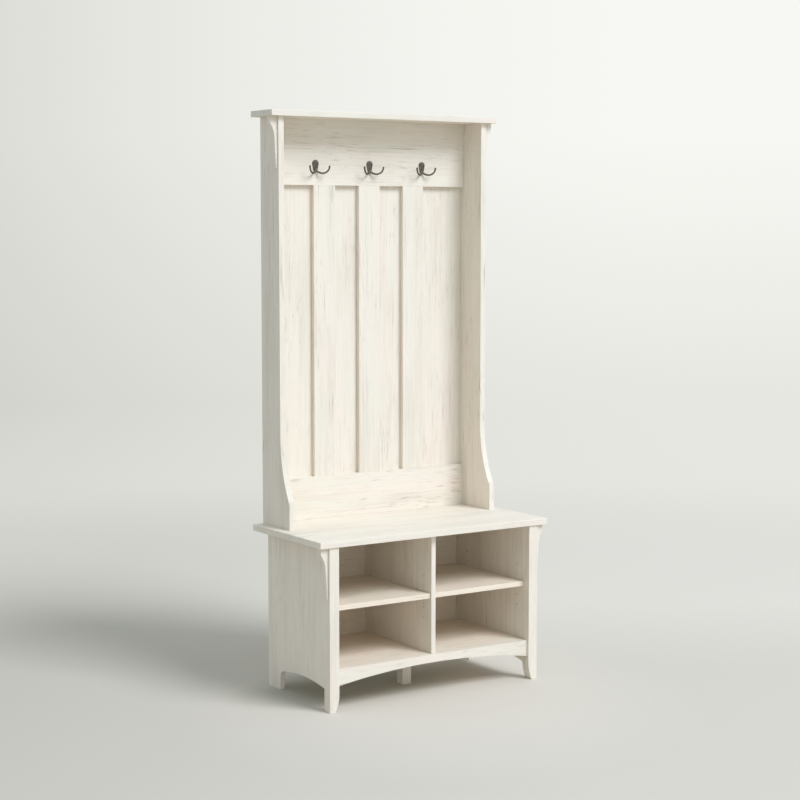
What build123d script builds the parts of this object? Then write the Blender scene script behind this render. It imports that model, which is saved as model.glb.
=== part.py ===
from build123d import *
import os
from math import asin, cos, radians, sin, sqrt

os.makedirs("parts", exist_ok=True)

# A hall tree: a bench base with four open cubbies, and a hutch with a hook rail above it.
# Millimetres. +Z is up, the front faces -Y, and the origin is on the floor under the middle.

# Driving dimensions ------------------------------------------------------------------------
total_height = 1740
total_depth = 398
seat_width = 816
seat_top_z = 502
seat_thickness = 19
cap_width = 810
cap_thickness = 18
board_edge_radius = 1.5

board = 15                      # carcass boards: side panels, divider, shelves, bottom, apron
hardboard = 3                   # back panels
back_panel_margin = 2           # they stop this short of the outer faces

post_size = 32
post_outer_x = 375
post_setback = 5.5              # seat front edge to the post's front face
foot_curve_height = 56
foot_curve_radius = 125

rear_leg_depth = 71
side_arch_front_z = 52          # lower edge of a side panel, at the post
side_arch_crown_z = 71
side_arch_crown_inset = 187     # from the seat's front edge
side_arch_rear_z = 56
side_arch_corner_radius = 20

bottom_top_z = 124
apron_setback = 13.5
apron_end_z = 74                # lower edge of the apron beside a post
apron_middle_z = 101            # and at the middle of its arch
divider_setback = 26
shelf_setback = 32
shelf_side_gap = 1
shelf_rear_gap = 2.5

pin_pitch = 32                  # shelf-pin holes, in rows of five
pin_rows = 5
pin_low_z = 228
pin_shelf_row = 2               # the row that holds the shelf, counted from the lowest
pin_inset_front = 67            # seat front edge to the front column
pin_inset_rear = 335
pin_radius = 2.5
pin_hole_depth = 10
pin_clearance = 0.15
pin_peg_length = 7
pin_paddle_length = 9
pin_paddle_width = 7
pin_paddle_thickness = 2
pin_flat_drop = 0.5             # the paddle's flat top lies this far below the peg's axis
shelf_lift = 0.2                # running clearance between a shelf and its pins

centre_leg_width = 32
centre_leg_depth = 30
centre_leg_y = -14

bracket_reach = 25              # how far a bracket stands out under its top board
bracket_height = 152
bracket_thickness = 18
bracket_square = 19             # the straight part below the top board
bracket_waist_drop = 54         # where the hollow curve runs out into the straight tail
bracket_waist_reach = 10.4
bracket_hollow = (14.8, -37.7)  # a point on the hollow curve between them
bracket_tail_reach = 4.3

hutch_side_thickness = 18
hutch_outer_x = 375
hutch_front = 285.5             # seat front edge to the hutch side's upper front edge
hutch_flare_front = 233.5       # and to its foot
hutch_kink_z = 578.5            # the foot is upright up to here
hutch_curve_top_z = 775         # the hollow curve is tangent to the upper edge here
cap_setback = 271
cap_bracket_inset = 6.5         # behind the hutch side's front edge

rail_thickness = 15
hook_rail_bottom_z = 1524
lower_rail_top_z = 634
stile_width = 76.5
stile_spacing = 162

hook_spacing = 194
hook_z = 1560                   # the lowest point of a prong's centre line
hook_flats = 8                  # prongs, tips and boss are rods with this many flats
hook_prong_radius = 2.6         # to the flats, as on the tips and the boss
hook_tip_radius = 3.1
hook_tip_length = 5.4
hook_tip_chamfer = 1.4
hook_sweep_angle = 35           # each prong turns this far forward from the rail
hook_throat_radius = 21         # a prong's upward bend
hook_tip_angle = radians(87)    # and how far that bend turns
hook_shoulder_radius = 27       # its downward bend out of the plate
hook_boss_radius = 5.2          # the stub that the prongs grow from
hook_boss_height = 6.5
hook_boss_chamfer = 2
hook_boss_z = 9.5               # heights on a hook are from a prong's lowest point
hook_plate_thickness = 3
hook_plate_chamfer = 1
hook_plate_top_radius = 11
hook_plate_top_z = 29.5
hook_plate_bottom_radius = 7.5
hook_plate_bottom_z = 13
hook_screw_z = (17, 32)
hook_screw_hole_radius = 1.9

# Planes worked out from them -----------------------------------------------------------------
front_y = -total_depth / 2
rear_y = total_depth / 2
carcass_rear_y = rear_y - hardboard
seat_underside_z = seat_top_z - seat_thickness
cap_underside_z = total_height - cap_thickness
bay_outer_x = post_outer_x - post_size          # inner faces of the posts and side panels
bottom_underside_z = bottom_top_z - board
shelf_row_z = pin_low_z + pin_shelf_row * pin_pitch
shelf_underside_z = shelf_row_z - pin_flat_drop + shelf_lift
rail_front_y = carcass_rear_y - rail_thickness
hutch_inner_x = hutch_outer_x - hutch_side_thickness


def depth_to_y(setback):
    """A distance behind the seat's front edge, as a Y coordinate."""
    return front_y + setback


def block(x_range, y_range, z_range):
    """A box between two corners."""
    size = [high - low for low, high in (x_range, y_range, z_range)]
    corner = Pos(x_range[0], y_range[0], z_range[0])
    return corner * Box(*size, align=(Align.MIN, Align.MIN, Align.MIN))


def mirrored(shape):
    """The same piece on the other side of the middle."""
    return mirror(shape, about=Plane.YZ)


def softened_board(x_half, y_range, z_range):
    """A top board with its front and end edges eased."""
    board_shape = block((-x_half, x_half), y_range, z_range)
    rear_edges = board_shape.edges().filter_by(Axis.X).sort_by(Axis.Y)[-2:]
    long_edges = board_shape.edges().filter_by(Axis.Z, reverse=True)
    eased = [edge for edge in long_edges if edge not in rear_edges]
    return fillet(eased, board_edge_radius)


# Bench base ----------------------------------------------------------------------------------
def seat():
    return softened_board(seat_width / 2, (front_y, rear_y), (seat_underside_z, seat_top_z))


def front_post():
    """Right-hand post. Only the inner side of its foot curves in, to a slim sabre foot."""
    inner = bay_outer_x
    outer = post_outer_x
    rise = foot_curve_height
    toe = inner + foot_curve_radius - sqrt(foot_curve_radius**2 - rise**2)
    half_turn = asin(rise / foot_curve_radius) / 2
    curve_middle = (inner + foot_curve_radius * (1 - cos(half_turn)),
                    rise - foot_curve_radius * sin(half_turn))
    outline = [
        Line((toe, 0), (outer, 0)),
        Line((outer, 0), (outer, seat_underside_z)),
        Line((outer, seat_underside_z), (inner, seat_underside_z)),
        Line((inner, seat_underside_z), (inner, rise)),
        ThreePointArc((inner, rise), curve_middle, (toe, 0)),
    ]
    face = Plane.XZ * make_face(outline)
    post_front = depth_to_y(post_setback)
    return Pos(0, post_front + post_size, 0) * extrude(face, post_size)


def pin_hole_centres(inset):
    """The heights of one column of shelf-pin holes, at its distance from the front edge."""
    return [(depth_to_y(inset), pin_low_z + row * pin_pitch) for row in range(pin_rows)]


def pin_hole_cutters(x, length):
    """Cylinders along X for both columns of shelf-pin holes, starting at x."""
    radius = pin_radius + pin_clearance
    cutters = []
    for inset in (pin_inset_front, pin_inset_rear):
        for y, z in pin_hole_centres(inset):
            drill = Cylinder(radius, length, align=(Align.CENTER, Align.CENTER, Align.MIN))
            cutters.append(Pos(x, y, z) * Rot(0, 90, 0) * drill)
    return cutters


def side_panel():
    """Right-hand panel behind the post, with an arched lower edge and a rear leg."""
    front = depth_to_y(post_setback) + post_size
    leg_front = carcass_rear_y - rear_leg_depth
    arch_front = (front, side_arch_front_z)
    arch_crown = (depth_to_y(side_arch_crown_inset), side_arch_crown_z)
    arch_rear = (leg_front, side_arch_rear_z)
    outline = [
        Line((front, seat_underside_z), arch_front),
        ThreePointArc(arch_front, arch_crown, arch_rear),
        Line(arch_rear, (leg_front, 0)),
        Line((leg_front, 0), (carcass_rear_y, 0)),
        Line((carcass_rear_y, 0), (carcass_rear_y, seat_underside_z)),
        Line((carcass_rear_y, seat_underside_z), (front, seat_underside_z)),
    ]
    face = make_face(outline)
    corner = face.vertices().sort_by_distance((*arch_rear, 0))[0]
    face = fillet(corner, side_arch_corner_radius)
    panel = extrude(Plane.YZ * face, board)
    panel = Pos(bay_outer_x, 0, 0) * panel
    return panel - pin_hole_cutters(bay_outer_x, pin_hole_depth)


def divider():
    panel = block((-board / 2, board / 2), (depth_to_y(divider_setback), carcass_rear_y),
                  (bottom_top_z, seat_underside_z))
    return panel - pin_hole_cutters(-board / 2, board)


def bottom_panel():
    apron_rear = depth_to_y(apron_setback) + board
    return block((-bay_outer_x, bay_outer_x), (apron_rear, carcass_rear_y),
                 (bottom_underside_z, bottom_top_z))


def apron():
    """Front rail under the cubbies, with one long shallow arch."""
    x = bay_outer_x
    outline = [
        Line((-x, bottom_top_z), (x, bottom_top_z)),
        Line((x, bottom_top_z), (x, apron_end_z)),
        ThreePointArc((x, apron_end_z), (0, apron_middle_z), (-x, apron_end_z)),
        Line((-x, apron_end_z), (-x, bottom_top_z)),
    ]
    face = Plane.XZ * make_face(outline)
    return Pos(0, depth_to_y(apron_setback) + board, 0) * extrude(face, board)


def bench_back_panel():
    x = bay_outer_x + board - back_panel_margin
    return block((-x, x), (carcass_rear_y, rear_y), (bottom_underside_z, seat_underside_z))


def centre_leg():
    return block((-centre_leg_width / 2, centre_leg_width / 2),
                 (centre_leg_y - centre_leg_depth / 2, centre_leg_y + centre_leg_depth / 2),
                 (0, bottom_underside_z))


def shelf():
    """Right-hand adjustable shelf, loose on four pins."""
    return block((board / 2 + shelf_side_gap, bay_outer_x - shelf_side_gap),
                 (depth_to_y(shelf_setback), carcass_rear_y - shelf_rear_gap),
                 (shelf_underside_z, shelf_underside_z + board))


def shelf_pin():
    """One spoon pin, at the origin: its peg goes along -X and its flat paddle along +X."""
    peg = Pos(-pin_peg_length, 0, 0) * Rot(0, 90, 0) * Cylinder(
        pin_radius, pin_peg_length, align=(Align.CENTER, Align.CENTER, Align.MIN))
    paddle = block((0, pin_paddle_length), (-pin_paddle_width / 2, pin_paddle_width / 2),
                   (-pin_flat_drop - pin_paddle_thickness, -pin_flat_drop))
    return peg + paddle


def shelf_pins():
    """The four pins under the right-hand shelf: two in the divider, two in the side panel."""
    pins = []
    for inset in (pin_inset_front, pin_inset_rear):
        y = depth_to_y(inset)
        pins.append(Pos(board / 2, y, shelf_row_z) * shelf_pin())
        pins.append(Pos(bay_outer_x, y, shelf_row_z) * Rot(0, 0, 180) * shelf_pin())
    return Compound(pins)


# Brackets --------------------------------------------------------------------------------------
def bracket():
    """Right-hand corbel: its back on X=0, its top on Z=0 and its thickness along +Y."""
    top = bracket_reach
    waist = (bracket_waist_reach, -bracket_waist_drop)
    tail = (bracket_tail_reach, -bracket_height)
    outline = [
        Line((0, 0), (top, 0)),
        Line((top, 0), (top, -bracket_square)),
        ThreePointArc((top, -bracket_square), bracket_hollow, waist),
        Line(waist, tail),
        Line(tail, (0, -bracket_height)),
        Line((0, -bracket_height), (0, 0)),
    ]
    face = Plane.XZ * make_face(outline)
    return Pos(0, bracket_thickness, 0) * extrude(face, bracket_thickness)


def bench_bracket():
    y = depth_to_y(post_setback) + (post_size - bracket_thickness) / 2
    return Pos(post_outer_x, y, seat_underside_z) * bracket()


def cap_bracket():
    y = depth_to_y(hutch_front) + cap_bracket_inset
    return Pos(hutch_outer_x, y, cap_underside_z) * bracket()


# Hutch -----------------------------------------------------------------------------------------
def hutch_side():
    """Right-hand upright. Its foot flares forward to a kink below a hollow curve."""
    upper = depth_to_y(hutch_front)
    foot = depth_to_y(hutch_flare_front)
    rise = hutch_curve_top_z - hutch_kink_z
    reach = upper - foot
    radius = (rise**2 + reach**2) / (2 * reach)
    half_turn = asin(rise / radius) / 2
    curve_middle = (upper - radius * (1 - cos(half_turn)),
                    hutch_curve_top_z - radius * sin(half_turn))
    outline = [
        Line((foot, seat_top_z), (foot, hutch_kink_z)),
        ThreePointArc((foot, hutch_kink_z), curve_middle, (upper, hutch_curve_top_z)),
        Line((upper, hutch_curve_top_z), (upper, cap_underside_z)),
        Line((upper, cap_underside_z), (carcass_rear_y, cap_underside_z)),
        Line((carcass_rear_y, cap_underside_z), (carcass_rear_y, seat_top_z)),
        Line((carcass_rear_y, seat_top_z), (foot, seat_top_z)),
    ]
    side = extrude(Plane.YZ * make_face(outline), hutch_side_thickness)
    return Pos(hutch_inner_x, 0, 0) * side


def cap():
    return softened_board(cap_width / 2, (depth_to_y(cap_setback), rear_y),
                          (cap_underside_z, total_height))


def rail(z_low, z_high):
    return block((-hutch_inner_x, hutch_inner_x), (rail_front_y, carcass_rear_y), (z_low, z_high))


def stile(x):
    return block((x - stile_width / 2, x + stile_width / 2), (rail_front_y, carcass_rear_y),
                 (lower_rail_top_z, hook_rail_bottom_z))


def hutch_back_panel():
    x = hutch_outer_x - back_panel_margin
    return block((-x, x), (carcass_rear_y, rear_y), (seat_top_z, cap_underside_z))


# Hooks -----------------------------------------------------------------------------------------
def hook_plate():
    """Teardrop back plate on Y=0, facing -Y, wide at the top."""
    top, bottom = hook_plate_top_radius, hook_plate_bottom_radius
    slope = (top - bottom) / (hook_plate_top_z - hook_plate_bottom_z)
    level = sqrt(1 - slope**2)
    upper = (top * level, hook_plate_top_z - top * slope)
    lower = (bottom * level, hook_plate_bottom_z - bottom * slope)
    upper_left = (-upper[0], upper[1])
    lower_left = (-lower[0], lower[1])
    outline = [
        ThreePointArc(upper, (0, hook_plate_top_z + top), upper_left),
        Line(upper_left, lower_left),
        ThreePointArc(lower_left, (0, hook_plate_bottom_z - bottom), lower),
        Line(lower, upper),
    ]
    plate = extrude(Plane.XZ * make_face(outline), hook_plate_thickness)
    front_edges = plate.faces().sort_by(Axis.Y)[0].edges()
    plate = chamfer(front_edges, hook_plate_chamfer)
    for z in hook_screw_z:
        hole = Cylinder(hook_screw_hole_radius, 4 * hook_plate_thickness)
        plate -= Pos(0, 0, z) * Rot(90, 0, 0) * hole
    return plate


def flat_sided(radius):
    """The cross-section of a cast rod, with flats at this radius."""
    return RegularPolygon(radius, hook_flats, major_radius=False, rotation=180 / hook_flats)


def arc_point(radius, angle):
    """A point on an arc that is level at the prong's lowest point, angle past that point."""
    return (hook_throat_radius + radius * sin(angle), radius * (1 - cos(angle)))


def prong_path():
    """Centre line of the right prong in its own upright plane: down and out, then up."""
    start_angle = asin(hook_throat_radius / hook_shoulder_radius)
    start = arc_point(hook_shoulder_radius, -start_angle)
    start_middle = arc_point(hook_shoulder_radius, -start_angle / 2)
    lowest = (hook_throat_radius, 0)
    tip_middle = arc_point(hook_throat_radius, hook_tip_angle / 2)
    tip = arc_point(hook_throat_radius, hook_tip_angle)
    down = ThreePointArc(start, start_middle, lowest)
    up = ThreePointArc(lowest, tip_middle, tip)
    return Wire([down, up])


def hook_prong():
    """The right prong, with a thicker tip, turned forward from the rail."""
    path = prong_path()
    arm = sweep(Plane(path @ 0, z_dir=path % 0) * flat_sided(hook_prong_radius), path=path)
    tip = extrude(flat_sided(hook_tip_radius), hook_tip_length / 2, both=True)
    tip = chamfer(tip.faces().filter_by(Axis.Z).edges(), hook_tip_chamfer)
    arm += Plane(path @ 1, z_dir=path % 1) * tip
    upright = Plane((0, 0, 0), x_dir=(1, 0, 0), z_dir=(0, -1, 0))
    return Pos(0, -hook_plate_thickness, 0) * Rot(0, 0, -hook_sweep_angle) * (upright * arm)


def hook():
    """One cast hook: a plate, a root boss and two prongs that spread to the sides."""
    boss = extrude(Plane.XZ * flat_sided(hook_boss_radius), hook_boss_height)
    boss = chamfer(boss.faces().sort_by(Axis.Y)[0].edges(), hook_boss_chamfer)
    boss = Pos(0, -hook_plate_chamfer, hook_boss_z) * boss
    right = hook_prong()
    return hook_plate() + boss + right + mirrored(right)


# Assembly --------------------------------------------------------------------------------------
parts = {
    "seat_top": seat(),
    "centre_divider": divider(),
    "bottom_panel": bottom_panel(),
    "front_apron": apron(),
    "bench_back_panel": bench_back_panel(),
    "centre_leg": centre_leg(),
    "hutch_cap": cap(),
    "hook_rail": rail(hook_rail_bottom_z, cap_underside_z),
    "lower_rail": rail(seat_top_z, lower_rail_top_z),
    "hutch_back_panel": hutch_back_panel(),
}

paired = {
    "front_post": front_post(),
    "side_panel": side_panel(),
    "bench_bracket": bench_bracket(),
    "shelf": shelf(),
    "shelf_pins": shelf_pins(),
    "hutch_side": hutch_side(),
    "cap_bracket": cap_bracket(),
}
for name, shape in paired.items():
    parts["right_" + name] = shape
    parts["left_" + name] = mirrored(shape)

for name, offset in (("left", -1), ("centre", 0), ("right", 1)):
    parts[name + "_stile"] = stile(offset * stile_spacing)
    parts[name + "_hook"] = Pos(offset * hook_spacing, rail_front_y, hook_z) * hook()

for name, shape in parts.items():
    export_step(shape, "parts/" + name + ".step")
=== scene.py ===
"""Looks for the hall tree: whitewashed grain on every board, cast hooks and a soft studio."""
from math import asin, ceil, cos, pi, radians, sin

import bmesh
import bpy
from mathutils import Matrix, Vector


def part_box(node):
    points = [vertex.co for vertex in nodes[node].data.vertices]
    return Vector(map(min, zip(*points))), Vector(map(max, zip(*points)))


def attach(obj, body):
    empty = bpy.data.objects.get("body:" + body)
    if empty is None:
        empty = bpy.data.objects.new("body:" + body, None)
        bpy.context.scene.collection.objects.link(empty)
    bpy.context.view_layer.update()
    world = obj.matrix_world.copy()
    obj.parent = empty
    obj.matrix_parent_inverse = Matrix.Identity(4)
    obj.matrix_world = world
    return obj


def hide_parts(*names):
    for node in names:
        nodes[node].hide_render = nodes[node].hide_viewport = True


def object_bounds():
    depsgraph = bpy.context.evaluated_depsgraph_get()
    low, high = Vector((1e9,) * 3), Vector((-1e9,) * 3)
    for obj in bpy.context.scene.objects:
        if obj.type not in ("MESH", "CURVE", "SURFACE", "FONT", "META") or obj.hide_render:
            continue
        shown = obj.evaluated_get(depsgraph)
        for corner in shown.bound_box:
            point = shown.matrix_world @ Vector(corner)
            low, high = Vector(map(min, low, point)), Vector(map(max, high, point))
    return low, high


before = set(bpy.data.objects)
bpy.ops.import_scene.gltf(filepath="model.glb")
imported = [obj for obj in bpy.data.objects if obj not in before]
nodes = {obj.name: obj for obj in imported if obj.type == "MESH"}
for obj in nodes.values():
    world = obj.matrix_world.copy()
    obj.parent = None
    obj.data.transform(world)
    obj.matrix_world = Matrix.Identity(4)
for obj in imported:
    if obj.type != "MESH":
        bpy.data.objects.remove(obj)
cad_low, cad_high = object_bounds()
scene = bpy.context.scene

# Boards and back, in metres -----------------------------------------------------------------------
WELD_REACH = 0.00001            # points closer than this are merged
FLAT_ANGLE = radians(0.5)       # faces that meet flatter than this count as one
SHARP_ANGLE = radians(38)       # edges sharper than this are eased
EASED_EDGE = 0.0006             # how far the boards' sharp edges are rounded
NAIL_SIDES = 16
NAIL_RADIUS = 0.0021
NAIL_HEIGHT = 0.0004
NAIL_INSET = 0.008              # from the edge of a back panel
NAIL_PITCH = 0.12               # at most

# Hook, in millimetres: x to the right, y to the back and z up from a prong's lowest point ---------
MILLIMETRE = 0.001
SWEEP_ANGLE = radians(35)       # each prong turns this far forward from the rail
SHOULDER_RADIUS = 27
THROAT_RADIUS = 21
TIP_ANGLE = radians(87)
ROOT_RADIUS, PRONG_RADIUS, TIP_RADIUS = 3.4, 2.6, 3.1
TAPER_SHARE = 0.45              # of the prong's length, from the root
PLATE_THICKNESS = 3
PLATE_TOP = (29.5, 11)          # height and radius of the teardrop's two round ends
PLATE_BOTTOM = (13, 7.5)
BOSS_RADIUS, BOSS_Z = 5.2, 9.5
SCREW_Z = (17, 32)
SCREW_RADIUS, SCREW_HEIGHT = 3.2, 1.7
RECESS_HALF_WIDTH, RECESS_REACH, RECESS_DEPTH = 0.42, 1.75, 0.8
CAST_GRAIN = 0.4                # the voxel that the cast pieces are merged at

# Colours, linear ----------------------------------------------------------------------------------
COOL_CREAM = (0.835, 0.781, 0.673)
WARM_CREAM = (0.868, 0.775, 0.679)
NO_TINT = (1.0, 1.0, 1.0)
INSIDE_PAINTED_WARM_SHADE = (1.045, 1.0, 0.955)        # painted warm shade: the bench's inner boards, which sit in shade, are a little warmer
CAP_TINT = (0.965, 0.965, 0.965)         # and the cap is a little darker
WORN_BROWN = (0.360, 0.268, 0.176)
BRONZE_DARK = (0.088, 0.078, 0.060)
BRONZE_WORN = (0.165, 0.148, 0.115)
STEEL_DARK = (0.496, 0.488, 0.472)
STEEL_LIGHT = (0.62, 0.61, 0.59)
# The floor's own grey, with a painted light falloff: darker at the left, lighter at the right
FLOOR_LEFT = (0.580, 0.527, 0.464)
FLOOR_RIGHT = (0.656, 0.601, 0.531)
FLOOR_PAINTED_LIGHT_POOL = 1.10                        # painted light: how much lighter the floor is in front of the bench
FLOOR_PAINTED_LIGHT_BEHIND = 1.135                     # and behind it, also painted light
FLOOR_PAINTED_SHADOW = (0.72, 0.76, 0.735)        # and a painted shadow: how much darker in an oval under it
# The paper's colours carry painted light: lighter towards the upper right, darker towards the low
# left
PAPER_LOW_LEFT = (0.640, 0.647, 0.607)
PAPER_LOW_RIGHT = (0.786, 0.794, 0.748)
PAPER_HIGH_LEFT = (0.708, 0.715, 0.672)
PAPER_HIGH_RIGHT = (0.932, 0.940, 0.897)
PAPER_PAINTED_SHADE_NEAR = (0.88, 0.88, 0.88)          # painted shade: how much darker the paper is towards the camera
SKY_COLOUR = (0.884, 1.0, 1.055)
KEY_COLOUR = (0.940, 1.0, 1.098)

# Patterns: frequencies per metre, the boards' across the grain and along it -----------------------
BAND_RATE, CLOUD_RATE, LINE_RATE, PORE_RATE = (26, 2.0), (15, 2.4), (150, 3.0), (640, 24)
STREAK_RATE, STREAK_PATCH_RATE = (170, 6), (11, 3.2)
NICK_RATE, NICK_PATCH_RATE = (150, 20), (9, 5)
CAST_RATE, RUBBED_RATE, TURNING_RATE = (700, 700, 700), (160, 160, 160), (60, 900, 900)
CLOUD_WEAR, LINE_WEAR, PORE_WEAR = 0.15, 0.16, 0.11     # how deep each pattern wears the coat
BOARD_RELIEF, CAST_RELIEF = 0.0004, 0.0002              # in metres
GRAIN_START = (0, 0, -0.06)                             # the first board's place in the pattern
GRAIN_STEP = (1.7, -2.3, 3.1)                           # from one board's place to the next one's

# Camera: the studio view --------------------------------------------------------------------------
CAMERA_AZIMUTH = -33.39
CAMERA_ELEVATION = 5.47
CAMERA_DISTANCE = 5.56
CAMERA_AIM_SHIFT = Vector((-0.008, -0.003, 0.005))      # from the middle of the model's box
CAMERA_LENS = 82.4

# Studio, in metres. Sides run to the right, and fronts towards the camera -------------------------
STAGE_RADIUS = 9.0
STAGE_HEIGHT = 8.0
STAGE_SIDES = 128
FADE_START, FADE_END = 1.5, 4.6         # where the floor fades into the backdrop's colour
FLOOR_SIDES = (-1.2, 0.5)               # from FLOOR_LEFT to FLOOR_RIGHT, a painted light falloff
# the middle of the painted pool of light
PAINTED_POOL_PLACE = (-0.05, -0.25, 0)
PAINTED_POOL_FADE = (0.25, 0.8)                 # distances from that place
PAINTED_BEHIND_FADE = (-1.2, -0.2)              # fronts, from the full painted lightening behind to none
PAINTED_SHADOW_PLACE = (-0.14, 0.05, 0)          # the painted shadow's oval: its middle
PAINTED_SHADOW_REACH = (0.42, 0.22, 1)           # and its reach on each axis
PAINTED_SHADOW_FADE = (0.45, 1.05)               # in shares of that reach
PAPER_SIDES = (-3.2, 2.0)               # from the paper's left colours to its right ones
PAPER_EASE = 0.75                       # how much faster the paper lightens at its left
PAPER_HEIGHTS = (0, 2.1)                # from its low colours to its high ones
PAPER_FRONTS = (-4.5, 1)                # from no painted shade to its full depth
SKY_STRENGTH = 0.612
KEY_AZIMUTH = 21
KEY_ELEVATION = 44.5
KEY_DISTANCE = 24
KEY_SIZE = 12
KEY_POWER = 4350


def direction(azimuth, elevation):
    """Unit vector towards a point seen at this azimuth (0 is the front) and elevation."""
    a, e = radians(azimuth), radians(elevation)
    return Vector((sin(a) * cos(e), -cos(a) * cos(e), sin(e)))


def new_object(name, data):
    """An object of the scene."""
    made = bpy.data.objects.new(name, data)
    scene.collection.objects.link(made)
    return made


# Node helpers -------------------------------------------------------------------------------------
def add(tree, kind, inputs=None, **settings):
    """A new node. An input is a value, or another node's output to link from."""
    made = tree.nodes.new(kind)
    for key, value in settings.items():
        setattr(made, key, value)
    for socket, value in (inputs or {}).items():
        if isinstance(value, bpy.types.NodeSocket):
            tree.links.new(value, made.inputs[socket])
        else:
            made.inputs[socket].default_value = value
    return made


def new_material(name):
    material = bpy.data.materials.new(name)
    material.use_nodes = True
    material.node_tree.nodes.clear()
    return material, material.node_tree


def finish_material(tree, shader):
    add(tree, "ShaderNodeOutputMaterial", {"Surface": shader})


def noise(tree, coordinates, stretch, **inputs):
    """Noise whose frequency per metre along each axis is given by stretch."""
    placed = add(tree, "ShaderNodeMapping", {"Vector": coordinates, "Scale": stretch})
    settings = {"Vector": placed.outputs["Vector"], "Scale": 1.0}
    settings.update(inputs)
    return add(tree, "ShaderNodeTexNoise", settings).outputs["Fac"]


def remapped(tree, value, low, high, to_low=0.0, to_high=1.0):
    made = add(tree, "ShaderNodeMapRange", {
        "Value": value, "From Min": low, "From Max": high, "To Min": to_low, "To Max": to_high})
    return made.outputs["Result"]


def times(tree, a, b):
    return add(tree, "ShaderNodeMath", {0: a, 1: b}, operation="MULTIPLY").outputs[0]


def plus(tree, a, b):
    return add(tree, "ShaderNodeMath", {0: a, 1: b}, operation="ADD").outputs[0]


def mixed(tree, factor, a, b, blend="MIX"):
    """Colour a, blended towards colour b by the factor."""
    made = add(tree, "ShaderNodeMix", data_type="RGBA", blend_type=blend)
    for socket, value in (("Factor", factor), ("A", a), ("B", b)):
        target = [s for s in made.inputs if s.name == socket and s.enabled][0]
        if isinstance(value, bpy.types.NodeSocket):
            tree.links.new(value, target)
        elif socket == "Factor":
            target.default_value = value
        else:
            target.default_value = (*value, 1.0)
    return [s for s in made.outputs if s.enabled][0]


# Materials ----------------------------------------------------------------------------------------
def along_grain(grain, rate):
    """Frequencies per metre on each axis, for a pattern that runs along the grain's axis."""
    across, along = rate
    return tuple(along if axis == grain else across for axis in "XYZ")


def worn(tree, coat, depth):
    """The coat, rubbed through to the brown by this depth."""
    return mixed(tree, depth, coat, WORN_BROWN)


def whitewash(name, grain, offset, tint, streaks, nicks):
    """Whitewashed wood-grain laminate: cream bands, worn clouds, faint lines, pores and marks.

    The last two numbers say how deep the board's streaks and nicks are.
    """
    material, tree = new_material(name)
    place = add(tree, "ShaderNodeTexCoord").outputs["Object"]
    place = add(tree, "ShaderNodeMapping", {"Vector": place, "Location": offset})
    place = place.outputs["Vector"]

    bands = noise(tree, place, along_grain(grain, BAND_RATE), Detail=3.0, Roughness=0.55)
    cool, warm = (tuple(part * share for part, share in zip(cream, tint))
                  for cream in (COOL_CREAM, WARM_CREAM))
    coat = mixed(tree, remapped(tree, bands, 0.36, 0.64), cool, warm)

    cloud = noise(tree, place, along_grain(grain, CLOUD_RATE), Detail=4.0, Roughness=0.6)
    coat = worn(tree, coat, remapped(tree, cloud, 0.48, 0.74, 0.0, CLOUD_WEAR))

    lines = noise(tree, place, along_grain(grain, LINE_RATE), Detail=5.0, Roughness=0.6)
    clear = remapped(tree, cloud, 0.35, 0.62, 0.35, 1.0)
    faint = remapped(tree, lines, 0.45, 0.74, 0.0, LINE_WEAR)
    coat = worn(tree, coat, times(tree, faint, clear))

    pores = noise(tree, place, along_grain(grain, PORE_RATE), Detail=3.0, Roughness=0.6)
    pores = remapped(tree, pores, 0.52, 0.70)
    coat = worn(tree, coat, times(tree, pores, PORE_WEAR))

    patch = noise(tree, place, along_grain(grain, STREAK_PATCH_RATE), Detail=3.0)
    streak = noise(tree, place, along_grain(grain, STREAK_RATE), Detail=4.0, Roughness=0.5)
    streak = times(tree, remapped(tree, streak, 0.58, 0.72), remapped(tree, patch, 0.50, 0.66))
    coat = worn(tree, coat, times(tree, streak, streaks))

    patch = noise(tree, place, along_grain(grain, NICK_PATCH_RATE), Detail=2.0)
    nick = noise(tree, place, along_grain(grain, NICK_RATE), Detail=3.0, Roughness=0.55)
    nick = times(tree, remapped(tree, nick, 0.55, 0.74), remapped(tree, patch, 0.46, 0.62))
    coat = worn(tree, coat, times(tree, nick, nicks))

    marks = plus(tree, streak, nick)
    relief = plus(tree, times(tree, lines, -0.5), times(tree, marks, -0.8))
    relief = plus(tree, relief, times(tree, pores, -0.3))
    bump = add(tree, "ShaderNodeBump", {
        "Strength": 0.35, "Distance": BOARD_RELIEF, "Height": relief})
    rough = remapped(tree, plus(tree, lines, times(tree, marks, 0.5)), 0.3, 0.9, 0.50, 0.68)
    shader = add(tree, "ShaderNodeBsdfPrincipled", {
        "Base Color": coat, "Roughness": rough, "Normal": bump.outputs["Normal"],
        "Specular IOR Level": 0.35})
    finish_material(tree, shader.outputs[0])
    return material


def bronze(name):
    """Dark oil-rubbed bronze, satin, a little lighter where the cast skin is rubbed."""
    material, tree = new_material(name)
    place = add(tree, "ShaderNodeTexCoord").outputs["Object"]
    cast = noise(tree, place, CAST_RATE, Detail=4.0, Roughness=0.6)
    rubbed = noise(tree, place, RUBBED_RATE, Detail=2.0)
    colour = mixed(tree, remapped(tree, rubbed, 0.42, 0.68), BRONZE_DARK, BRONZE_WORN)
    bump = add(tree, "ShaderNodeBump", {
        "Strength": 0.3, "Distance": CAST_RELIEF, "Height": cast})
    rough = remapped(tree, cast, 0.3, 0.7, 0.40, 0.56)
    shader = add(tree, "ShaderNodeBsdfPrincipled", {
        "Base Color": colour, "Metallic": 0.55, "Roughness": rough,
        "Normal": bump.outputs["Normal"]})
    finish_material(tree, shader.outputs[0])
    return material


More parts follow.
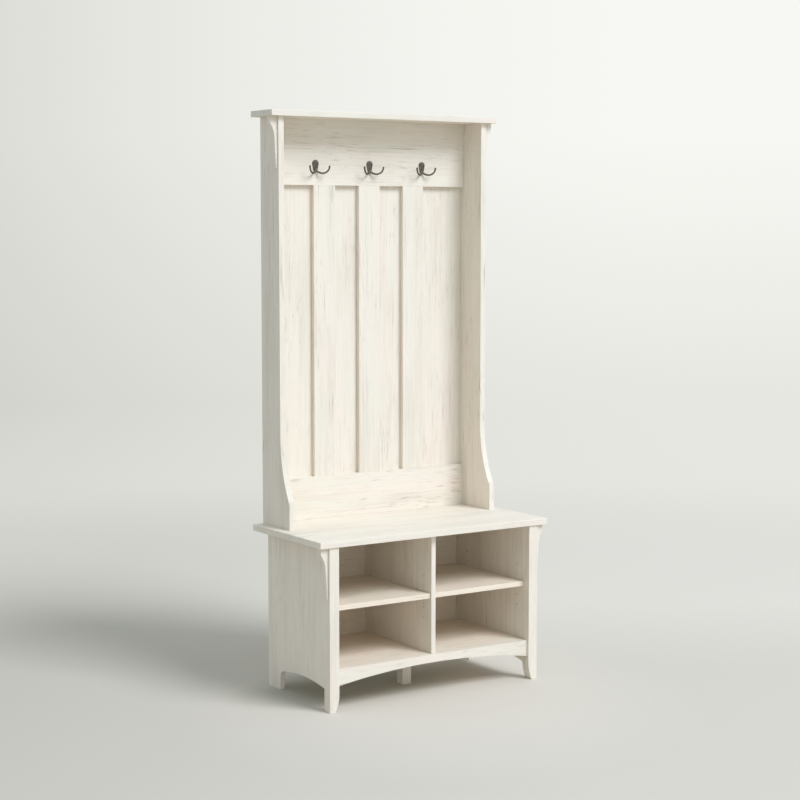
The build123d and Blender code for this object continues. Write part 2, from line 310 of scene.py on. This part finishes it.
def plated_steel(name):
    """Nickel-plated steel with fine turning marks, for the shelf pins and the nails."""
    material, tree = new_material(name)
    place = add(tree, "ShaderNodeTexCoord").outputs["Object"]
    marks = noise(tree, place, TURNING_RATE, Detail=3.0)
    colour = mixed(tree, marks, STEEL_DARK, STEEL_LIGHT)
    rough = remapped(tree, marks, 0.3, 0.7, 0.28, 0.45)
    shader = add(tree, "ShaderNodeBsdfPrincipled", {
        "Base Color": colour, "Metallic": 1.0, "Roughness": rough})
    finish_material(tree, shader.outputs[0])
    return material


# The boards ---------------------------------------------------------------------------------------
LEVEL_GRAIN = ("seat_top", "hutch_cap", "hook_rail", "lower_rail", "front_apron", "bottom_panel",
               "left_shelf", "right_shelf", "bench_back_panel")
# the bench's inner boards carry the painted warm shade
TINTS = {"hutch_cap": CAP_TINT, "bottom_panel": INSIDE_PAINTED_WARM_SHADE, "bench_back_panel": INSIDE_PAINTED_WARM_SHADE,
         "left_shelf": INSIDE_PAINTED_WARM_SHADE, "right_shelf": INSIDE_PAINTED_WARM_SHADE}
USUAL_MARKS = (0.60, 0.30)              # how deep the streaks and the nicks are
FAINT_MARKS = (0.50, 0.30)
MARKS = {"hook_rail": (0.72, 0.38), "lower_rail": (0.50, 0.55), "right_hutch_side": (0.90, 0.50),
         "left_stile": FAINT_MARKS, "centre_stile": FAINT_MARKS, "right_stile": FAINT_MARKS,
         "hutch_back_panel": FAINT_MARKS}


def ease_edges(board):
    """Rounds the sharp edges a little, as a foil-wrapped board's are."""
    weld = board.modifiers.new("weld", "WELD")
    weld.merge_threshold = WELD_REACH
    flat = board.modifiers.new("flat faces", "DECIMATE")
    flat.decimate_type = "DISSOLVE"
    flat.angle_limit = FLAT_ANGLE
    bevel = board.modifiers.new("eased edges", "BEVEL")
    bevel.width = EASED_EDGE
    bevel.segments = 2
    bevel.limit_method = "ANGLE"
    bevel.angle_limit = SHARP_ANGLE
    bevel.use_clamp_overlap = False
    normals = board.modifiers.new("even normals", "WEIGHTED_NORMAL")
    normals.keep_sharp = False


def dress_boards():
    """Each board gets its own stretch of the grain, and the shelf pins are steel."""
    for index, name in enumerate(sorted(nodes)):
        board = nodes[name]
        if name.endswith("_hook"):
            continue
        board.data.materials.clear()
        if name.endswith("_pins"):
            board.data.materials.append(plated_steel(name + "_steel"))
            continue
        grain = "X" if name in LEVEL_GRAIN else "Z"
        offset = [start + index * step for start, step in zip(GRAIN_START, GRAIN_STEP)]
        tint = TINTS.get(name, NO_TINT)
        streaks, nicks = MARKS.get(name, USUAL_MARKS)
        board.data.materials.append(
            whitewash(name + "_whitewash", grain, offset, tint, streaks, nicks))
        ease_edges(board)


# The hooks ----------------------------------------------------------------------------------------
def circle(radius, sides):
    """Points of a circle round the origin, as pairs."""
    return [(radius * cos(2 * pi * k / sides), radius * sin(2 * pi * k / sides))
            for k in range(sides)]


def skin(shape, rings):
    """Faces between each ring of points and the next one."""
    for lower, upper in zip(rings, rings[1:]):
        for k in range(len(lower)):
            after = (k + 1) % len(lower)
            shape.faces.new((lower[k], lower[after], upper[after], upper[k]))


def closed_skin(shape, rings):
    """The same, with a face over the first ring and one over the last."""
    skin(shape, rings)
    shape.faces.new(reversed(rings[0]))
    shape.faces.new(rings[-1])


def tube(shape, centres, radii, sides=20):
    """A closed tube of rings round a path."""
    rings = []
    for index, centre in enumerate(centres):
        before = centres[max(index - 1, 0)]
        after = centres[min(index + 1, len(centres) - 1)]
        turn = (after - before).to_track_quat("Z", "Y")
        rings.append([shape.verts.new(centre + turn @ Vector((x, y, 0)))
                      for x, y in circle(radii[index], sides)])
    closed_skin(shape, rings)


def prong(shape, side, steps=26):
    """One prong: down and out from the boss, up round the throat, to a rounded tip."""
    start = asin(THROAT_RADIUS / SHOULDER_RADIUS)
    spread = Vector((side * cos(SWEEP_ANGLE), -sin(SWEEP_ANGLE), 0))
    centres, radii = [], []
    for step in range(steps + 1):
        angle = -start + (start + TIP_ANGLE) * step / steps
        bend = SHOULDER_RADIUS if angle < 0 else THROAT_RADIUS
        reach = THROAT_RADIUS + bend * sin(angle)
        height = bend * (1 - cos(angle))
        centres.append(Vector((0, -PLATE_THICKNESS, height)) + reach * spread)
        taper = min(1, step / (TAPER_SHARE * steps))
        radii.append(ROOT_RADIUS + (PRONG_RADIUS - ROOT_RADIUS) * taper)
    tube(shape, centres, radii)
    knob = bmesh.ops.create_uvsphere(shape, u_segments=20, v_segments=12, radius=TIP_RADIUS)
    bmesh.ops.translate(shape, verts=knob["verts"], vec=centres[-1])


def plate_outline(inset, sides=48):
    """Points round the teardrop plate, drawn in by the inset."""
    (top_z, top_radius), (low_z, low_radius) = PLATE_TOP, PLATE_BOTTOM
    lean = asin((top_radius - low_radius) / (top_z - low_z))
    points = []
    for k in range(sides):
        angle = 2 * pi * k / sides
        rises = sin(angle) > -sin(lean)
        centre, radius = (top_z, top_radius) if rises else (low_z, low_radius)
        points.append(((radius - inset) * cos(angle), centre + (radius - inset) * sin(angle)))
    return points


def plate(shape):
    """Teardrop plate with a rounded front edge and a slightly domed face."""
    insets_and_fronts = ((0, 0), (0, 1.7), (0.3, 2.4), (0.9, 2.85), (2.2, 3.0), (5.2, 3.12))
    closed_skin(shape, [[shape.verts.new((x, -front, z)) for x, z in plate_outline(inset)]
                        for inset, front in insets_and_fronts])


def boss(shape):
    """Round root that the prongs grow from."""
    places = (0, -2, -4.2, -5.6, -6.2, -6.4)
    shares = (1.12, 1.0, 0.98, 0.86, 0.62, 0.3)
    tube(shape, [Vector((0, y, BOSS_Z)) for y in places],
         [BOSS_RADIUS * share for share in shares], sides=28)


def merged_casting(shape):
    """Closed pieces fused into one skin, with the inner corners softened as in a casting."""
    bmesh.ops.recalc_face_normals(shape, faces=shape.faces)
    data = bpy.data.meshes.new("casting")
    shape.to_mesh(data)
    rough = new_object("casting", data)
    remesh = rough.modifiers.new("fuse", "REMESH")
    remesh.mode = "VOXEL"
    remesh.voxel_size = CAST_GRAIN
    smooth = rough.modifiers.new("soften", "SMOOTH")
    smooth.iterations = 5
    smooth.factor = 0.5
    bpy.context.view_layer.update()
    fused = bpy.data.meshes.new_from_object(
        rough.evaluated_get(bpy.context.evaluated_depsgraph_get()))
    bpy.data.objects.remove(rough)
    bpy.data.meshes.remove(data)
    return fused


def screw_head(shape, z, loop_count=14, sides=48):
    """Domed head with a cross recess, standing on the plate."""
    loops = []
    for i in range(1, loop_count + 1):
        radius = SCREW_RADIUS * i / loop_count
        dome = SCREW_HEIGHT * (1 - (radius / SCREW_RADIUS) ** 2) ** 0.6
        loop = []
        for across, up in circle(radius, sides):
            narrow, wide = sorted((abs(across), abs(up)))
            in_recess = narrow < RECESS_HALF_WIDTH and wide < RECESS_REACH
            rise = dome - RECESS_DEPTH if in_recess else dome
            loop.append(shape.verts.new((across, -PLATE_THICKNESS - rise, z + up)))
        loops.append(loop)
    middle = shape.verts.new((0, -PLATE_THICKNESS - SCREW_HEIGHT + RECESS_DEPTH, z))
    for k in range(sides):
        shape.faces.new((middle, loops[0][k], loops[0][(k + 1) % sides]))
    skin(shape, loops)
    shape.faces.new(loops[-1])


def finished_mesh(shape, name, material):
    """The shape as a mesh of one material, with its faces turned outward."""
    bmesh.ops.recalc_face_normals(shape, faces=shape.faces)
    data = bpy.data.meshes.new(name)
    shape.to_mesh(data)
    shape.free()
    data.materials.append(material)
    return data


def hook_casting():
    """Plate, boss and both prongs in one skin, in metres."""
    shape = bmesh.new()
    plate(shape)
    boss(shape)
    prong(shape, 1)
    prong(shape, -1)
    casting = merged_casting(shape)
    shape.free()
    casting.transform(Matrix.Scale(MILLIMETRE, 4))
    casting.materials.clear()
    casting.materials.append(bronze("hook_bronze"))
    casting.shade_smooth()
    return casting


def hook_screws():
    """The heads of one hook's two screws, in metres."""
    shape = bmesh.new()
    for z in SCREW_Z:
        screw_head(shape, z)
    screws = finished_mesh(shape, "screws", bronze("screw_bronze"))
    screws.transform(Matrix.Scale(MILLIMETRE, 4))
    screws.shade_smooth()
    return screws


def hooks():
    """A cast hook in the place of each plain one, with its two screws."""
    casting, screws = hook_casting(), hook_screws()
    for side in ("left", "centre", "right"):
        node = side + "_hook"
        low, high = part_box(node)
        place = Vector(((low.x + high.x) / 2, high.y, low.z + MILLIMETRE * PRONG_RADIUS))
        for name, data in ((side + "_cast_hook", casting), (side + "_hook_screws", screws)):
            piece = new_object(name, data)
            piece.location = place
            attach(piece, "frame")
            if data == casting:
                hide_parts(node)


# Nails in the back panels -------------------------------------------------------------------------
def evenly_spaced(low, high, pitch):
    """Places from low to high, both included, at most the pitch apart."""
    count = ceil((high - low) / pitch)
    return [low + (high - low) * k / count for k in range(count + 1)]


def nail_head(shape, x, y, z):
    """Low round head with its front edge bevelled, standing on the panel's back."""
    widths_and_rises = ((1.0, 0), (1.0, 0.6), (0.75, 1.0))
    closed_skin(shape, [[shape.verts.new((x + across, y + NAIL_HEIGHT * rise, z + up))
                         for across, up in circle(NAIL_RADIUS * width, NAIL_SIDES)]
                        for width, rise in widths_and_rises])


def back_nails():
    """A row of nails along each edge of both back panels."""
    steel = plated_steel("nail_steel")
    for node in ("bench_back_panel", "hutch_back_panel"):
        low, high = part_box(node)
        xs = evenly_spaced(low.x + NAIL_INSET, high.x - NAIL_INSET, NAIL_PITCH)
        zs = evenly_spaced(low.z + NAIL_INSET, high.z - NAIL_INSET, NAIL_PITCH)
        places = [(x, z) for x in xs for z in zs if x in (xs[0], xs[-1]) or z in (zs[0], zs[-1])]
        shape = bmesh.new()
        for x, z in places:
            nail_head(shape, x, high.y, z)
        name = node.replace("panel", "nails")
        piece = new_object(name, finished_mesh(shape, name, steel))
        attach(piece, "frame")


# Stage, light and camera --------------------------------------------------------------------------
def aim(obj, place, target):
    """Puts a lamp or a camera at the place and turns it to the target."""
    obj.location = place
    obj.rotation_mode = "QUATERNION"
    obj.rotation_quaternion = (target - place).to_track_quat("-Z", "Y")


def key_light():
    """One large soft lamp, from the front, the right and above."""
    data = bpy.data.lights.new("key_light", "AREA")
    data.shape = "DISK"
    data.size = KEY_SIZE
    data.energy = KEY_POWER
    data.color = KEY_COLOUR
    lamp = new_object("key_light", data)
    centre = (cad_low + cad_high) / 2
    aim(lamp, centre + KEY_DISTANCE * direction(KEY_AZIMUTH, KEY_ELEVATION), centre)
    lamp.visible_camera = False


def seen_directly(tree):
    """1 for rays from the camera, or through a reflection or glass; 0 for rays of bounced light."""
    path = add(tree, "ShaderNodeLightPath").outputs
    total = plus(tree, plus(tree, path["Is Camera Ray"], path["Is Glossy Ray"]),
                 path["Is Transmission Ray"])
    return add(tree, "ShaderNodeClamp", {"Value": total}).outputs[0]


def side_to_side(tree, place, left, right):
    """From 0 to 1 between two distances to the right of the middle."""
    across = add(tree, "ShaderNodeVectorMath", {
        0: place, 1: direction(CAMERA_AZIMUTH + 90, 0)}, operation="DOT_PRODUCT")
    return remapped(tree, across.outputs["Value"], left, right)


def towards_camera(tree, place):
    """How far a place lies in front of the middle, along the camera's line."""
    made = add(tree, "ShaderNodeVectorMath", {
        0: place, 1: direction(CAMERA_AZIMUTH, 0)}, operation="DOT_PRODUCT")
    return made.outputs["Value"]


def paper_colour(tree, place):
    """Pale studio paper, with painted light and shade: lighter towards its upper right and darker
    towards the front.
    """
    side = side_to_side(tree, place, *PAPER_SIDES)
    side = times(tree, side, plus(tree, times(tree, side, -PAPER_EASE), 1 + PAPER_EASE))
    height = add(tree, "ShaderNodeSeparateXYZ", {"Vector": place}).outputs["Z"]
    low = mixed(tree, side, PAPER_LOW_LEFT, PAPER_LOW_RIGHT)
    high = mixed(tree, side, PAPER_HIGH_LEFT, PAPER_HIGH_RIGHT)
    paper = mixed(tree, remapped(tree, height, *PAPER_HEIGHTS), low, high)
    # painted shade: the paper darkens towards the camera
    near = remapped(tree, towards_camera(tree, place), *PAPER_FRONTS)
    return mixed(tree, near, paper, PAPER_PAINTED_SHADE_NEAR, blend="MULTIPLY")


def staged(name, shape, material):
    """A piece of the studio, which isn't part of the object."""
    data = bpy.data.meshes.new(name)
    shape.to_mesh(data)
    shape.free()
    data.materials.append(material)
    piece = new_object(name, data)
    return piece


def floor_colour(tree, place):
    """Grey with painted light: lighter to the right, in front of the object and behind it; and a
    painted shadow, darker in an oval under it.
    """
    # painted light: the grey's ramp from left to right stands in for a lamp's falloff
    grey = mixed(tree, side_to_side(tree, place, *FLOOR_SIDES), FLOOR_LEFT, FLOOR_RIGHT)
    oval = add(tree, "ShaderNodeMapping", {
        "Vector": place, "Location": PAINTED_SHADOW_PLACE, "Scale": PAINTED_SHADOW_REACH}, vector_type="TEXTURE")
    share = add(tree, "ShaderNodeVectorMath", {0: oval.outputs["Vector"]}, operation="LENGTH")
    # painted shadow: the floor is darkened in an oval under the bench
    under = remapped(tree, share.outputs["Value"], *PAINTED_SHADOW_FADE, 1.0, 0.0)
    grey = mixed(tree, under, grey, FLOOR_PAINTED_SHADOW, blend="MULTIPLY")
    # painted light: a pool of light on the floor in front of the bench
    reach = add(tree, "ShaderNodeVectorMath", {0: place, 1: PAINTED_POOL_PLACE}, operation="DISTANCE")
    pool = remapped(tree, reach.outputs["Value"], *PAINTED_POOL_FADE, FLOOR_PAINTED_LIGHT_POOL, 1.0)
    # painted light: the floor lightens behind the bench
    behind = remapped(tree, towards_camera(tree, place), *PAINTED_BEHIND_FADE, FLOOR_PAINTED_LIGHT_BEHIND, 1.0)
    return add(tree, "ShaderNodeVectorMath", {
        0: grey, "Scale": times(tree, pool, behind)}, operation="SCALE").outputs[0]


def studio_floor():
    """Shaded and shadowed near the object, fading into the backdrop's colour further out."""
    material, tree = new_material("studio_floor")
    place = add(tree, "ShaderNodeTexCoord").outputs["Object"]
    far = add(tree, "ShaderNodeVectorMath", {0: place}, operation="LENGTH").outputs["Value"]
    fade = add(tree, "ShaderNodeMapRange", {
        "Value": far, "From Min": FADE_START, "From Max": FADE_END},
        interpolation_type="SMOOTHSTEP").outputs["Result"]
    near = add(tree, "ShaderNodeBsdfDiffuse", {"Color": floor_colour(tree, place)})
    paper = add(tree, "ShaderNodeEmission", {"Color": paper_colour(tree, place)})
    shader = add(tree, "ShaderNodeMixShader", {
        0: times(tree, fade, seen_directly(tree)), 1: near.outputs[0], 2: paper.outputs[0]})
    finish_material(tree, shader.outputs[0])
    shape = bmesh.new()
    bmesh.ops.create_circle(shape, cap_ends=True, segments=STAGE_SIDES, radius=STAGE_RADIUS)
    staged("studio_floor", shape, material)


def studio_backdrop():
    """A tall ring of paper round the stage, which takes no part in the lighting."""
    material, tree = new_material("studio_backdrop")
    place = add(tree, "ShaderNodeTexCoord").outputs["Object"]
    paper = add(tree, "ShaderNodeEmission", {
        "Color": paper_colour(tree, place), "Strength": seen_directly(tree)})
    finish_material(tree, paper.outputs[0])
    shape = bmesh.new()
    bmesh.ops.create_circle(shape, segments=STAGE_SIDES, radius=STAGE_RADIUS)
    rim = bmesh.ops.extrude_edge_only(shape, edges=shape.edges[:])["geom"]
    raised = [part for part in rim if isinstance(part, bmesh.types.BMVert)]
    bmesh.ops.translate(shape, verts=raised, vec=(0, 0, STAGE_HEIGHT))
    backdrop = staged("studio_backdrop", shape, material)
    backdrop.visible_diffuse = False
    backdrop.visible_shadow = False


def sky():
    """Even light from all round."""
    world = bpy.data.worlds.new("studio")
    scene.world = world
    world.use_nodes = True
    background = world.node_tree.nodes["Background"]
    background.inputs["Color"].default_value = (*SKY_COLOUR, 1.0)
    background.inputs["Strength"].default_value = SKY_STRENGTH


def camera():
    """The studio view, from the front and the left, a little below the height of the hooks."""
    data = bpy.data.cameras.new("camera")
    data.lens = CAMERA_LENS
    eye = new_object("camera", data)
    target = (cad_low + cad_high) / 2 + CAMERA_AIM_SHIFT
    aim(eye, target + CAMERA_DISTANCE * direction(CAMERA_AZIMUTH, CAMERA_ELEVATION), target)
    scene.camera = eye


dress_boards()
hooks()
back_nails()
studio_floor()
studio_backdrop()
sky()
key_light()
camera()

scene.view_settings.view_transform = "Standard"
